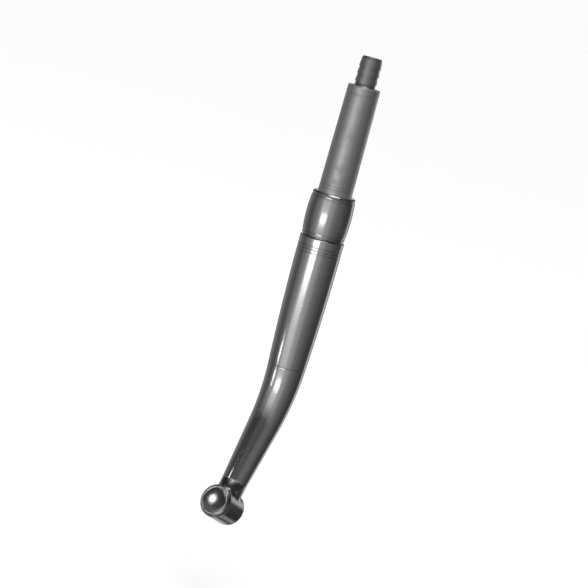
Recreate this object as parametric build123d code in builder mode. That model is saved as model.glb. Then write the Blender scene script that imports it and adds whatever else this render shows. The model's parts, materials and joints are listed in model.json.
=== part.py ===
"""High speed dental handpiece: an air turbine handpiece with its hose-side union.

The handle lies along Z and hangs head down. The origin is the middle of the tail sleeve's top face,
where the hose stops. The neck bends towards -X, the side of the push button, and the bur side faces +X.
All sizes are in millimetres.
"""

from build123d import *
from math import cos, radians, sin, tan
import os

os.makedirs("parts", exist_ok=True)

# ---------------------------------------------------------------- driving dimensions

# bend and head position
bend_angle = 22.5
bend_radius = 48.0
bend_corner_z = -93.0
neck_length = 35.5

# hose end
spigot_radius = 3.2
spigot_bore_radius = 2.5
spigot_height = 8.0
spigot_socket_depth = 6.0
spigot_tip_height = 0.6
spigot_tip_taper = 0.4
stub_height = 6.0

# tail sleeve and its collar
sleeve_top_radius = 4.7
sleeve_radius = 5.0
sleeve_bore_radius = 3.7
collar_radius = 5.5
collar_top_z = -34.2
sleeve_bottom_z = -36.2
block_top_z = -22.0
edge_break = 0.25

# union nut
nut_top_z = -31.5
nut_bottom_z = -44.6
nut_end_radius = 6.2
nut_belly_radius = 6.65
nut_lip_radius = 5.08
nut_lip_thickness = 1.9
nut_bore_radius = 5.6
nut_edge_chamfer = 0.3
washer_inner_radius = 5.06
washer_outer_radius = 5.55
washer_thickness = 0.7
axial_play = 0.05

# gasket and rear connector
gasket_radius = 5.1
gasket_thickness = 1.0
thread_radius = 5.53
thread_lead = 0.4
connector_front_z = -52.0
connector_spigot_radius = 5.43
connector_ring_z = -49.0
connector_ring_section = 0.29
ring_groove_depth = 0.6
ring_groove_half_width = 0.4

# handle and neck shells
handle_rear_z = -44.7
handle_rear_radius = 6.5
handle_middle_z = -64.0
handle_middle_radius = 6.3
handle_front_radius = 5.6
handle_rear_bore = 5.45
handle_front_bore = 4.65
neck_spigot_length = 5.0
neck_end_radius = 3.8
neck_end_bore = 2.95
neck_wall = 0.75
shell_end_room = 1.0
seam_gap = 0.03
spigot_clearance = 0.08

# channels: (x, y) of each one beside the handle axis, tube radius, bore radius
drive_air = (-0.5, 1.3, 1.0, 0.7)
exhaust = (-0.5, -1.3, 1.0, 0.75)
chip_air = (1.6, 0.75, 0.5, 0.32)
water = (1.6, -0.75, 0.5, 0.32)
channels = (drive_air, exhaust, chip_air, water)
tube_fit = 0.01
tube_seat_depth = 2.0
spacer_thickness = 2.0

# how far a cut reaches past the face it starts from
overrun = 1.0

# head drum, heights along the bur axis from the head centre, plus towards the button
head_radius = 4.9
head_face = -4.9
head_seam = 3.8
head_front_wall = 0.7
head_mouth_radius = 2.0
head_edge_chamfer = 0.5
bearing_seat_radius = 3.75
bearing_seat_top = -1.75
chamber_radius = 4.15
chamber_top = 1.25
stub_shoulder = 7.3
stub_spigot_end = 10.5
stub_spigot_bore = 2.5
stub_web_end = 6.6
spray_radius = 0.25
spray_offset = 4.4
nozzle_radius = 0.55

# head cap and push button
cap_skirt_radius = 4.4
cap_bore_radius = 3.95
cap_shelf = (3.8, 4.1)
cap_shelf_hole = 2.4
cap_top = 5.1
cap_edge_chamfer = 0.35
rim_top = 5.4
rim_bore = 3.57
rim_radius = 4.5
button_flange_radius = 3.88
button_radius = 3.5
button_flange = (4.6, 5.04)
button_edge = 5.55
button_crown = 5.75
button_stem_radius = 1.2
button_stem_end = 4.3
button_recess = 5.3
button_wall = 0.8
spring_wire = 0.12
spring_radius = 2.7
spring_turns = 2.5

# turbine
bearing_bore = 1.5875
bearing_radius = 3.175
bearing_width = 2.38
bearing_inner_land = 2.05
bearing_outer_land = 2.65
ball_radius = 0.5
ball_circle = 2.38
ball_count = 7
groove_clearance = 0.02
cage_radii = (2.2, 2.56)
cage_width = 1.3
pocket_clearance = 0.04
front_bearing_base = -4.15
rear_bearing_base = 1.25
o_ring_section = 0.27
preload_bore = 2.9
preload_radius = 3.7
preload_gap = 0.02
spindle_base = -4.6
spindle_top = 3.75
plunger_bore = 0.9
plunger_radius = 0.86
plunger_span = (1.9, 4.2)
chuck_outer = 1.25
chuck_span = (-5.1, 1.3)
bur_bore_radius = 0.8
bur_bore_end = 0.9
chuck_seat_room = 0.1
chuck_slit = 0.2
chuck_slit_end = -2.0
impeller_span = (-1.6, 1.0)
impeller_hub = 2.1
impeller_radius = 3.95
blade_count = 9
blade_sweep = 22.0
blade_camber = 4.4
blade_root_depth = 0.3

# thickness of a blade in degrees at its tip, its middle and its root
blade_thickness = (12.0, 14.4, 19.2)

# ---------------------------------------------------------------- reference geometry

bend = radians(bend_angle)
tangent_length = bend_radius * tan(bend / 2)
seam_z = bend_corner_z + tangent_length
arc_length = bend_radius * bend
straight_length = neck_length - tangent_length

# along the neck towards the handle, and along the bur axis towards the button
neck_back = Vector(sin(bend), 0, cos(bend))
cap_direction = Vector(-cos(bend), 0, sin(bend))
head_centre = Vector(0, 0, bend_corner_z) - neck_back * neck_length

head_plane = Plane(origin=head_centre, x_dir=neck_back, z_dir=cap_direction)
head_section = Plane(origin=head_centre, x_dir=neck_back, z_dir=(0, -1, 0))
head_axis = Axis(head_centre, cap_direction)
neck_section = Plane(origin=head_centre, x_dir=-cap_direction, z_dir=neck_back)


def centre_line(distance, beside=0.0, across=0.0):
    """Point beside the centre line, at a distance along it from the handle's front end."""
    angle = min(max(distance, 0.0) / bend_radius, bend)
    beyond = max(distance - arc_length, 0.0) - max(-distance, 0.0)
    x = (bend_radius + beside) * cos(angle) - bend_radius - beyond * sin(angle)
    z = seam_z - (bend_radius + beside) * sin(angle) - beyond * cos(angle)
    return Vector(x, across, z)


def cross_plane(distance):
    """Plane square to the centre line, looking towards the head."""
    angle = min(max(distance, 0.0) / bend_radius, bend)
    return Plane(
        origin=centre_line(distance),
        x_dir=(cos(angle), 0, -sin(angle)),
        z_dir=(-sin(angle), 0, -cos(angle)),
    )


def turned(section, axis, outline, mode=Mode.ADD):
    """Turn a closed outline of straight sides about an axis, in the part being built."""
    with BuildSketch(section) as profile:
        with BuildLine():
            Polyline(*outline, close=True)
        make_face()
    revolve(profile.sketch, axis=axis, mode=mode)


def turned_ring(section, axis, radii, levels, mode=Mode.ADD):
    """Turn a rectangle between two radii and two levels about an axis."""
    inner, outer = radii
    low, high = levels
    turned(section, axis, ((inner, low), (outer, low), (outer, high), (inner, high)), mode)


def bore_channels(top_z, depth, bores):
    """Bore holes down from a level, one for each (x, y, radius) in bores."""
    for x, y, radius in bores:
        with BuildSketch(Plane.XY.offset(top_z)) as mouth:
            with Locations((x, y)):
                Circle(radius)
        extrude(mouth.sketch, amount=-depth, mode=Mode.SUBTRACT)


def lumens():
    """Every channel's place and bore radius."""
    return [(x, y, bore) for x, y, _, bore in channels]


def seats(which):
    """Place and socket radius for the tubes of some channels."""
    return [(x, y, radius + tube_fit) for x, y, radius, _ in which]


# ---------------------------------------------------------------- hose end

with BuildPart() as hose_spigot:
    turned(
        Plane.XZ,
        Axis.Z,
        (
            (spigot_bore_radius, -spigot_socket_depth),
            (sleeve_bore_radius, -spigot_socket_depth),
            (sleeve_bore_radius, 0),
            (spigot_radius, 0),
            (spigot_radius, spigot_height),
            (spigot_radius - spigot_tip_taper, spigot_height + spigot_tip_height),
            (spigot_bore_radius, spigot_height + spigot_tip_height),
        ),
    )
hose_spigot.part.label = "hose_spigot"
export_step(hose_spigot.part, "parts/hose_spigot.step")

with BuildPart() as tail_sleeve:
    turned(
        Plane.XZ,
        Axis.Z,
        (
            (sleeve_bore_radius, 0),
            (sleeve_top_radius - edge_break, 0),
            (sleeve_top_radius, -edge_break),
            (sleeve_radius, nut_top_z),
            (sleeve_radius, collar_top_z),
            (collar_radius, collar_top_z),
            (collar_radius, sleeve_bottom_z),
            (sleeve_bore_radius, sleeve_bottom_z),
        ),
    )
tail_sleeve.part.label = "tail_sleeve"
export_step(tail_sleeve.part, "parts/tail_sleeve.step")

with BuildPart() as port_block:
    with BuildSketch(Plane.XY.offset(sleeve_bottom_z)):
        Circle(sleeve_bore_radius)
    extrude(amount=block_top_z - sleeve_bottom_z)
    chamfer(port_block.edges().group_by(Axis.Z)[-1], length=edge_break)
    bore_channels(block_top_z, block_top_z - sleeve_bottom_z, lumens())
    bore_channels(block_top_z, tube_seat_depth, seats(channels))
port_block.part.label = "port_block"
export_step(port_block.part, "parts/port_block.step")


def stub_tube(channel):
    """Straight tube from its seat in the port block up through the spigot."""
    x, y, radius, bore = channel
    base_z = block_top_z - tube_seat_depth
    with BuildPart() as tube:
        with BuildSketch(Plane.XY.offset(base_z)):
            with Locations((x, y)):
                Circle(radius)
                Circle(bore, mode=Mode.SUBTRACT)
        extrude(amount=stub_height - base_z)
    return tube


stubs = {
    "stub_drive_air": drive_air,
    "stub_exhaust": exhaust,
    "stub_chip_air": chip_air,
    "stub_water": water,
}
for stub_name, stub_channel in stubs.items():
    stub = stub_tube(stub_channel)
    stub.part.label = stub_name
    export_step(stub.part, f"parts/{stub_name}.step")

# ---------------------------------------------------------------- union nut and its washer

nut_lip_bottom = nut_top_z - nut_lip_thickness

with BuildPart() as union_nut:
    with BuildSketch(Plane.XZ):
        with BuildLine():
            top = Line((nut_lip_radius, nut_top_z), (nut_end_radius, nut_top_z))
            belly = ThreePointArc(
                top @ 1,
                (nut_belly_radius, (nut_top_z + nut_bottom_z) / 2),
                (nut_end_radius, nut_bottom_z),
            )
            Polyline(
                belly @ 1,
                (nut_bore_radius, nut_bottom_z),
                (nut_bore_radius, nut_lip_bottom),
                (nut_lip_radius, nut_lip_bottom),
                top @ 0,
            )
        make_face()
    revolve(axis=Axis.Z)
    circles = union_nut.edges().filter_by(GeomType.CIRCLE)
    rims = circles.filter_by(lambda circle: circle.radius < nut_belly_radius)
    chamfer(rims.group_by(SortBy.RADIUS)[-1], length=nut_edge_chamfer)
union_nut.part.label = "union_nut"
export_step(union_nut.part, "parts/union_nut.step")

washer_top = nut_lip_bottom - axial_play
with BuildPart() as thrust_washer:
    washer_levels = (washer_top - washer_thickness, washer_top)
    turned_ring(Plane.XZ, Axis.Z, (washer_inner_radius, washer_outer_radius), washer_levels)
thrust_washer.part.label = "thrust_washer"
export_step(thrust_washer.part, "parts/thrust_washer.step")

# ---------------------------------------------------------------- gasket and rear connector

with BuildPart() as port_gasket:
    with BuildSketch(Plane.XY.offset(sleeve_bottom_z)):
        Circle(gasket_radius)
    extrude(amount=-gasket_thickness)
    bore_channels(sleeve_bottom_z, gasket_thickness, lumens())
port_gasket.part.label = "port_gasket"
export_step(port_gasket.part, "parts/port_gasket.step")

connector_face_z = sleeve_bottom_z - gasket_thickness
inner_tubes = (drive_air, chip_air, water)
with BuildPart() as rear_connector:
    turned(
        Plane.XZ,
        Axis.Z,
        (
            (0, connector_face_z),
            (thread_radius - thread_lead, connector_face_z),
            (thread_radius, connector_face_z - thread_lead),
            (thread_radius, handle_rear_z),
            (connector_spigot_radius, handle_rear_z),
            (connector_spigot_radius, connector_front_z),
            (0, connector_front_z),
        ),
    )
    bore_channels(connector_face_z, connector_face_z - connector_front_z, lumens())
    seat_top_z = connector_front_z + tube_seat_depth
    bore_channels(seat_top_z, tube_seat_depth, seats(inner_tubes))
    groove_radii = (connector_spigot_radius - ring_groove_depth, handle_rear_bore)
    groove_base = connector_ring_z - ring_groove_half_width
    groove_levels = (groove_base, groove_base + 2 * ring_groove_half_width)
    turned_ring(Plane.XZ, Axis.Z, groove_radii, groove_levels, mode=Mode.SUBTRACT)
rear_connector.part.label = "rear_connector"
export_step(rear_connector.part, "parts/rear_connector.step")

with BuildPart(Plane.XY.offset(connector_ring_z)) as connector_o_ring:
    Torus(handle_rear_bore - connector_ring_section - tube_fit, connector_ring_section)
connector_o_ring.part.label = "connector_o_ring"
export_step(connector_o_ring.part, "parts/connector_o_ring.step")

# ---------------------------------------------------------------- handle and neck shells

with BuildPart() as handle_shell:
    with BuildSketch(Plane.XZ):
        with BuildLine():
            outside = Spline(
                (handle_rear_radius, handle_rear_z),
                (handle_middle_radius, handle_middle_z),
                (handle_front_radius, seam_z),
            )
            Polyline(
                outside @ 1,
                (handle_front_bore, seam_z),
                (handle_front_bore, seam_z + neck_spigot_length + shell_end_room),
                (handle_rear_bore, connector_front_z - shell_end_room),
                (handle_rear_bore, handle_rear_z),
                outside @ 0,
            )
        make_face()
    revolve(axis=Axis.Z)
handle_shell.part.label = "handle_shell"
export_step(handle_shell.part, "parts/handle_shell.step")

neck_shell_length = arc_length + straight_length - stub_shoulder - seam_gap
neck_stations = [neck_shell_length * step / 6 for step in range(7)]


def neck_radius(distance, rear, front):
    """Radius at a distance along the neck, between its rear and front values."""
    return rear + (front - rear) * distance / neck_shell_length


with BuildPart() as neck_shell:
    for distance in neck_stations:
        with BuildSketch(cross_plane(distance)):
            Circle(neck_radius(distance, handle_front_radius, neck_end_radius))
    loft()
    spigot_levels = (seam_z, seam_z + neck_spigot_length)
    turned_ring(Plane.XZ, Axis.Z, (0, handle_front_bore - tube_fit), spigot_levels)
    for distance in neck_stations:
        with BuildSketch(cross_plane(distance)):
            Circle(neck_radius(distance, handle_front_bore - neck_wall, neck_end_bore))
    loft(mode=Mode.SUBTRACT)
    spigot_bore = (0, handle_front_bore - neck_wall)
    turned_ring(Plane.XZ, Axis.Z, spigot_bore, spigot_levels, mode=Mode.SUBTRACT)
neck_shell.part.label = "neck_shell"
export_step(neck_shell.part, "parts/neck_shell.step")

# ---------------------------------------------------------------- tubes inside handle and neck


def inner_tube(channel):
    """Tube from the rear connector, round the bend, to the web behind the head."""
    x, y, radius, bore = channel
    start_z = connector_front_z + tube_seat_depth
    end = arc_length + straight_length - stub_web_end + tube_seat_depth / 2
    with BuildPart() as tube:
        with BuildLine():
            Line((x, y, start_z), (x, y, seam_z))
            ThreePointArc(
                centre_line(0, x, y),
                centre_line(arc_length / 2, x, y),
                centre_line(arc_length, x, y),
            )
            Line(centre_line(arc_length, x, y), centre_line(end, x, y))
        with BuildSketch(Plane(origin=(x, y, start_z), z_dir=(0, 0, -1))):
            Circle(radius)
            Circle(bore, mode=Mode.SUBTRACT)
        sweep()
    return tube


drive_air_tube = inner_tube(drive_air)
drive_air_tube.part.label = "drive_air_tube"
export_step(drive_air_tube.part, "parts/drive_air_tube.step")

chip_air_tube = inner_tube(chip_air)
chip_air_tube.part.label = "chip_air_tube"
export_step(chip_air_tube.part, "parts/chip_air_tube.step")

water_tube = inner_tube(water)
water_tube.part.label = "water_tube"
export_step(water_tube.part, "parts/water_tube.step")

# The spacer holds the tubes at the handle's front end and lets the exhaust air past.
with BuildPart() as tube_spacer:
    spacer_z = seam_z + neck_spigot_length - shell_end_room
    with BuildSketch(Plane.XY.offset(spacer_z)):
        Circle(handle_front_bore - neck_wall - tube_fit)
    extrude(amount=-spacer_thickness)
    bore_channels(spacer_z, spacer_thickness, seats(channels))
tube_spacer.part.label = "tube_spacer"
export_step(tube_spacer.part, "parts/tube_spacer.step")

# ---------------------------------------------------------------- head housing


def along_neck(start, end, radius, beside=0.0, across=0.0, mode=Mode.ADD):
    """Round bar or hole along the neck, between two distances from the head centre."""
    with BuildSketch(neck_section.offset(start)) as outline:
        with Locations((beside, across)):
            Circle(radius)
    extrude(outline.sketch, amount=end - start, mode=mode)


with BuildPart() as head_housing:
    turned(
        head_section,
        head_axis,
        (
            (0, head_face),
            (head_radius - head_edge_chamfer, head_face),
            (head_radius, head_face + head_edge_chamfer),
            (head_radius, head_seam),
            (0, head_seam),
        ),
    )
    along_neck(0, stub_shoulder, neck_end_radius)
    along_neck(0, stub_spigot_end, neck_end_bore - spigot_clearance)
    cap_room = (0, head_radius + seam_gap)
    turned_ring(head_section, head_axis, cap_room, (head_seam, rim_top), mode=Mode.SUBTRACT)
    turned(
        head_section,
        head_axis,
        (
            (0, head_face - overrun),
            (head_mouth_radius, head_face - overrun),
            (head_mouth_radius, head_face + head_front_wall),
            (bearing_seat_radius, head_face + head_front_wall),
            (bearing_seat_radius, bearing_seat_top),
            (chamber_radius, bearing_seat_top),
            (chamber_radius, chamber_top),
            (cap_skirt_radius + seam_gap, chamber_top),
            (cap_skirt_radius + seam_gap, head_seam + overrun),
            (0, head_seam + overrun),
        ),
        mode=Mode.SUBTRACT,
    )
    along_neck(stub_web_end, stub_spigot_end, stub_spigot_bore, mode=Mode.SUBTRACT)
    for x, y, radius in seats(inner_tubes):
        seat_start = stub_web_end - tube_seat_depth / 2
        along_neck(seat_start, stub_web_end, radius, x, y, Mode.SUBTRACT)
    port_start = chamber_radius - overrun
    along_neck(port_start, stub_web_end, nozzle_radius, drive_air[0], drive_air[1], Mode.SUBTRACT)
    along_neck(port_start, stub_web_end, exhaust[3], exhaust[0], exhaust[1], Mode.SUBTRACT)
    for x, y, _, _ in (chip_air, water):
        along_neck(spray_offset, stub_web_end, spray_radius, x, y, Mode.SUBTRACT)
        with BuildSketch(head_plane.offset(head_face - overrun)):
            with Locations((spray_offset, y)):
                Circle(spray_radius)
        extrude(amount=overrun - head_face - x + spray_radius / 2, mode=Mode.SUBTRACT)
head_housing.part.label = "head_housing"
export_step(head_housing.part, "parts/head_housing.step")

# ---------------------------------------------------------------- head cap and push button

with BuildPart() as head_cap:
    turned(
        head_section,
        head_axis,
        (
            (bearing_seat_radius, chamber_top),
            (cap_skirt_radius, chamber_top),
            (cap_skirt_radius, head_seam),
            (head_radius, head_seam),
            (head_radius, cap_top - cap_edge_chamfer),
            (head_radius - cap_edge_chamfer, cap_top),
            (cap_bore_radius, cap_top),
            (cap_bore_radius, cap_shelf[1]),
            (cap_shelf_hole, cap_shelf[1]),
            (cap_shelf_hole, cap_shelf[0]),
            (bearing_seat_radius, cap_shelf[0]),
        ),
    )
head_cap.part.label = "head_cap"
export_step(head_cap.part, "parts/head_cap.step")

with BuildPart() as cap_rim:
    turned(
        head_section,
        head_axis,
        (
            (rim_bore, cap_top),
            (rim_radius, cap_top),
            (rim_radius - edge_break, rim_top),
            (rim_bore, rim_top),
        ),
    )
cap_rim.part.label = "cap_rim"
export_step(cap_rim.part, "parts/cap_rim.step")

with BuildPart() as push_button:
    with BuildSketch(head_section):
        with BuildLine():
            crown = ThreePointArc(
                (0, button_crown),
                (button_radius / 2, button_edge + (button_crown - button_edge) * 0.75),
                (button_radius, button_edge),
            )
            Polyline(
                crown @ 1,
                (button_radius, button_flange[1]),
                (button_flange_radius, button_flange[1]),
                (button_flange_radius, button_flange[0]),
                (button_flange_radius - button_wall, button_flange[0]),
                (button_flange_radius - button_wall, button_recess),
                (button_stem_radius, button_recess),
                (button_stem_radius, button_stem_end),
                (0, button_stem_end),
                crown @ 0,
            )
        make_face()
    revolve(axis=head_axis)
push_button.part.label = "push_button"
export_step(push_button.part, "parts/push_button.step")

with BuildPart() as button_spring:
    spring_base = head_plane.offset(cap_shelf[1] + spring_wire + tube_fit)
    spring_height = button_recess - cap_shelf[1] - 2 * (spring_wire + tube_fit)
    with BuildLine():
        coil = Helix(
            pitch=spring_height / spring_turns,
            height=spring_height,
            radius=spring_radius,
            center=spring_base.origin,
            direction=cap_direction,
        )
    with BuildSketch(Plane(origin=coil @ 0, z_dir=coil % 0)):
        Circle(spring_wire)
    sweep()
button_spring.part.label = "button_spring"
export_step(button_spring.part, "parts/button_spring.step")

# ---------------------------------------------------------------- bearings


def race(radii, base):
    """One bearing ring with a ball groove."""
    with BuildPart() as ring:
        turned_ring(head_section, head_axis, radii, (base, base + bearing_width))
        with BuildSketch(head_section):
            with Locations((ball_circle, base + bearing_width / 2)):
                Circle(ball_radius + groove_clearance)
        revolve(axis=head_axis, mode=Mode.SUBTRACT)
    return ring


def ball_set(base):
    """All the balls of one bearing."""
    with BuildPart(head_plane.offset(base + bearing_width / 2)) as balls:
        with PolarLocations(ball_circle, ball_count):
            Sphere(ball_radius)
    return balls


def ball_cage(base):
    """Ring with a round pocket for each ball."""
    pocket_length = 2 * (cage_radii[1] - cage_radii[0])
    with BuildPart(head_plane.offset(base + bearing_width / 2)) as cage:
        Cylinder(cage_radii[1], cage_width)
        Cylinder(cage_radii[0], cage_width, mode=Mode.SUBTRACT)
        with PolarLocations(ball_circle, ball_count):
            Cylinder(
                ball_radius + pocket_clearance,
                pocket_length,
                rotation=(0, 90, 0),
                mode=Mode.SUBTRACT,
            )
    return cage


def seat_ring(base):
    """O-ring between a bearing's outer race and its seat."""
    with BuildPart(head_plane.offset(base + bearing_width / 2)) as ring:
        Torus((bearing_radius + bearing_seat_radius) / 2, o_ring_section)
    return ring


for end_name, bearing_base in (("front", front_bearing_base), ("rear", rear_bearing_base)):
    outer_race = race((bearing_outer_land, bearing_radius), bearing_base)
    outer_race.part.label = f"{end_name}_outer_race"
    export_step(outer_race.part, f"parts/{end_name}_outer_race.step")

    inner_race = race((bearing_bore, bearing_inner_land), bearing_base)
    inner_race.part.label = f"{end_name}_inner_race"
    export_step(inner_race.part, f"parts/{end_name}_inner_race.step")

    balls = ball_set(bearing_base)
    balls.part.label = f"{end_name}_balls"
    export_step(balls.part, f"parts/{end_name}_balls.step")

    cage = ball_cage(bearing_base)
    cage.part.label = f"{end_name}_cage"
    export_step(cage.part, f"parts/{end_name}_cage.step")

    o_ring = seat_ring(bearing_base)
    o_ring.part.label = f"{end_name}_o_ring"
    export_step(o_ring.part, f"parts/{end_name}_o_ring.step")

with BuildPart() as preload_washer:
    rear_race_top = rear_bearing_base + bearing_width
    preload_levels = (rear_race_top + preload_gap, cap_shelf[0])
    turned_ring(head_section, head_axis, (preload_bore, preload_radius), preload_levels)
preload_washer.part.label = "preload_washer"
export_step(preload_washer.part, "parts/preload_washer.step")

# ---------------------------------------------------------------- rotor

with BuildPart() as spindle:
    chuck_seat_end = chuck_span[1] + chuck_seat_room
    turned(
        head_section,
        head_axis,
        (
            (chuck_outer, spindle_base),
            (bearing_bore, spindle_base),
            (bearing_bore, spindle_top),
            (plunger_bore, spindle_top),
            (plunger_bore, chuck_seat_end),
            (chuck_outer, chuck_seat_end),
        ),
    )
spindle.part.label = "spindle"
export_step(spindle.part, "parts/spindle.step")

with BuildPart() as chuck:
    turned_ring(head_section, head_axis, (0, chuck_outer), chuck_span)
    turned_ring(head_section, head_axis, (0, bur_bore_radius), (chuck_span[0], bur_bore_end), Mode.SUBTRACT)
    with BuildSketch(head_plane.offset(chuck_span[0])):
        Rectangle(2 * chuck_outer + overrun, chuck_slit)
    extrude(amount=chuck_slit_end - chuck_span[0], mode=Mode.SUBTRACT)
chuck.part.label = "chuck"
export_step(chuck.part, "parts/chuck.step")

with BuildPart() as chuck_plunger:
    turned_ring(head_section, head_axis, (0, plunger_radius), plunger_span)
chuck_plunger.part.label = "chuck_plunger"
export_step(chuck_plunger.part, "parts/chuck_plunger.step")


def rim_point(radius, angle):
    """Point of a sketch at a radius and an angle in degrees."""
    return (radius * cos(radians(angle)), radius * sin(radians(angle)))


# Each blade is a curved vane that leans forward into the air jet.
tip_thickness, middle_thickness, root_thickness = blade_thickness
with BuildSketch(mode=Mode.PRIVATE) as blade:
    blade_root = impeller_hub - blade_root_depth
    blade_middle = (blade_root + impeller_radius) / 2
    with BuildLine():
        front_edge = ThreePointArc(
            rim_point(blade_root, 0),
            rim_point(blade_middle, blade_camber),
            rim_point(impeller_radius, blade_sweep),
        )
        tip = Line(front_edge @ 1, rim_point(impeller_radius, blade_sweep - tip_thickness))
        back_edge = ThreePointArc(
            tip @ 1,
            rim_point(blade_middle, blade_camber - middle_thickness),
            rim_point(blade_root, -root_thickness),
        )
        Line(back_edge @ 1, front_edge @ 0)
    make_face()

with BuildPart() as impeller:
    with BuildSketch(head_plane.offset(impeller_span[0])):
        Circle(impeller_hub)
        with PolarLocations(0, blade_count):
            add(blade.sketch)
        Circle(bearing_bore, mode=Mode.SUBTRACT)
    extrude(amount=impeller_span[1] - impeller_span[0])
impeller.part.label = "impeller"
export_step(impeller.part, "parts/impeller.step")
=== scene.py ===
"""Looks of the high speed handpiece: turned and polished pieces, their metals, the studio and the camera.

Shapes are worked out in millimetres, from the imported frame, and become metres as each mesh is made.
"""

import json
from math import cos, pi, radians, sin, sqrt, tan

import bmesh
import bpy
from mathutils import Matrix, Vector


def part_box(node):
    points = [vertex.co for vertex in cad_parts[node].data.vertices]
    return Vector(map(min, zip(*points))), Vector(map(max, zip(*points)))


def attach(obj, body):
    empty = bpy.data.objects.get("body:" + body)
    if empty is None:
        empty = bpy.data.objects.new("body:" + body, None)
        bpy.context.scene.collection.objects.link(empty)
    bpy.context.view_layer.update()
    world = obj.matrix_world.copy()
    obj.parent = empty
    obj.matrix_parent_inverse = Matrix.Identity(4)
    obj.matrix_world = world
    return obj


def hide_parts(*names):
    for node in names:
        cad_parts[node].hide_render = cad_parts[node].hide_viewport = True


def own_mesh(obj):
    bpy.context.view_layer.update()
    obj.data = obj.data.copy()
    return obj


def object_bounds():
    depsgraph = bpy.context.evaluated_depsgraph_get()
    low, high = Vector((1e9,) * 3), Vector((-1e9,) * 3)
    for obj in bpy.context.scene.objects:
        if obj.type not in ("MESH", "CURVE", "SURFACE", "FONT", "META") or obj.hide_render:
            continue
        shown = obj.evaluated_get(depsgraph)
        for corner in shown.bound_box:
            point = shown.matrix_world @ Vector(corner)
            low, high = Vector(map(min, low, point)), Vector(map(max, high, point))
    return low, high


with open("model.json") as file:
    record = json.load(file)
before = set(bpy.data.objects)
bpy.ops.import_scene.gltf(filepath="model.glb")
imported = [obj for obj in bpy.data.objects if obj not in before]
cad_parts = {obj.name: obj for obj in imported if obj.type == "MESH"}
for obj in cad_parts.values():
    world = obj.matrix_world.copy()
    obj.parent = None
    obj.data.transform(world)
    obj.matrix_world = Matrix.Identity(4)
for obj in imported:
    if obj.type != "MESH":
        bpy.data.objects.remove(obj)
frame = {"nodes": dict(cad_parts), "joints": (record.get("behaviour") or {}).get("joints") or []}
cad_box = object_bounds()

MM = 0.001

# ---------------------------------------------------------------- measures read from the frame

SAME_LEVEL = 0.02

upright = Matrix.Identity(4)


def radius_of(node):
    """Largest radius of a round CAD node: half its width across Y, which every axis here is square to."""
    low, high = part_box(node)
    return (high.y - low.y) / 2 / MM


def corners(node, place=upright):
    """Corners of a CAD node in the axes of a place, in millimetres."""
    back = place.inverted()
    return [back @ (vertex.co / MM) for vertex in frame["nodes"][node].data.vertices]


def levels(node, place=upright):
    """Lowest and highest level of a CAD node along the Z axis of a place."""
    heights = [corner.z for corner in corners(node, place)]
    return min(heights), max(heights)


def radii(node, height, place=upright):
    """Smallest and largest radius about the Z axis of a place, among a CAD node's corners at a height."""
    found = [corner.xy.length for corner in corners(node, place) if abs(corner.z - height) < SAME_LEVEL]
    return min(found), max(found)


def placed(origin, x_axis, z_axis):
    """Matrix that puts a thing at an origin, with its own X and Z axes along two given directions."""
    y_axis = z_axis.cross(x_axis)
    turn = Matrix((x_axis, y_axis, z_axis)).transposed().to_4x4()
    return Matrix.Translation(origin) @ turn


joints = {joint["name"]: joint for joint in frame["joints"]}
rotor_joint = joints["rotor_spin"]
head_centre = Vector(rotor_joint["pos_m"]) / MM
cap_direction = -Vector(rotor_joint["axis"]).normalized()
neck_back = Vector((cap_direction.z, 0, -cap_direction.x))

# the head's Z axis points out of its cap, and the neck's Z axis points back to the handle
head_place = placed(head_centre, neck_back, cap_direction)
neck_place = placed(head_centre, -cap_direction, neck_back)

# centre line of the neck: an arc from the handle's front end, then a straight run to the head centre
bend = Vector((0, 0, 1)).angle(neck_back)
corner_z = head_centre.z - head_centre.x / tan(bend)
seam_z = levels("handle_shell")[0]
tangent_length = seam_z - corner_z
bend_radius = tangent_length / tan(bend / 2)
arc_length = bend_radius * bend
straight_length = (head_centre - Vector((0, 0, corner_z))).length - tangent_length

# ---------------------------------------------------------------- mesh helpers

SEGMENTS = 144
SMALL_SEGMENTS = 48
ARC_STEPS = 5
CORNER_SHARE = 0.45
HOLD_SHARE = 0.3
POLE_RADIUS = 1e-6
GROOVE_SLOPE = 0.05
GROOVE_EDGE = 0.06


def curve(start, corner, end, steps):
    """Points of a smooth curve from start to end that is drawn towards a corner."""
    shares = [step / steps for step in range(steps + 1)]
    return [start * (1 - t) ** 2 + corner * 2 * t * (1 - t) + end * t * t for t in shares]


def rounded(outline, closed=True):
    """Points of an outline of (radius, height, corner size), with a small curve at every sized corner.

    A point just beyond each curve keeps the long straight sides flat when they are shaded smooth.
    """
    points = []
    last = len(outline) - 1
    for index, (radius, height, size) in enumerate(outline):
        here = Vector((radius, height))
        if size == 0 or (not closed and index in (0, last)):
            points.append(here)
            continue
        into = here - Vector(outline[index - 1][:2])
        out = Vector(outline[(index + 1) % len(outline)][:2]) - here
        reach = min(size, CORNER_SHARE * into.length, CORNER_SHARE * out.length)
        hold = HOLD_SHARE * reach
        start = here - into.normalized() * reach
        end = here + out.normalized() * reach
        points.append(start - into.normalized() * hold)
        points += curve(start, here, end, ARC_STEPS)
        points.append(end + out.normalized() * hold)
    return points


def bridge(bm, lower, upper):
    """Faces between two rings of vertices. A ring of one vertex is a pole."""
    count = max(len(lower), len(upper))
    for index in range(count):
        after = (index + 1) % count
        around = [
            lower[index % len(lower)],
            lower[after % len(lower)],
            upper[after % len(upper)],
            upper[index % len(upper)],
        ]
        around = list(dict.fromkeys(around))
        if len(around) > 2:
            bm.faces.new(around)


def bridge_all(bm, rings, closed):
    """Faces along a row of rings, and from the last ring to the first if it is closed."""
    for lower, upper in zip(rings, rings[1:]):
        bridge(bm, lower, upper)
    if closed:
        bridge(bm, rings[-1], rings[0])


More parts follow.
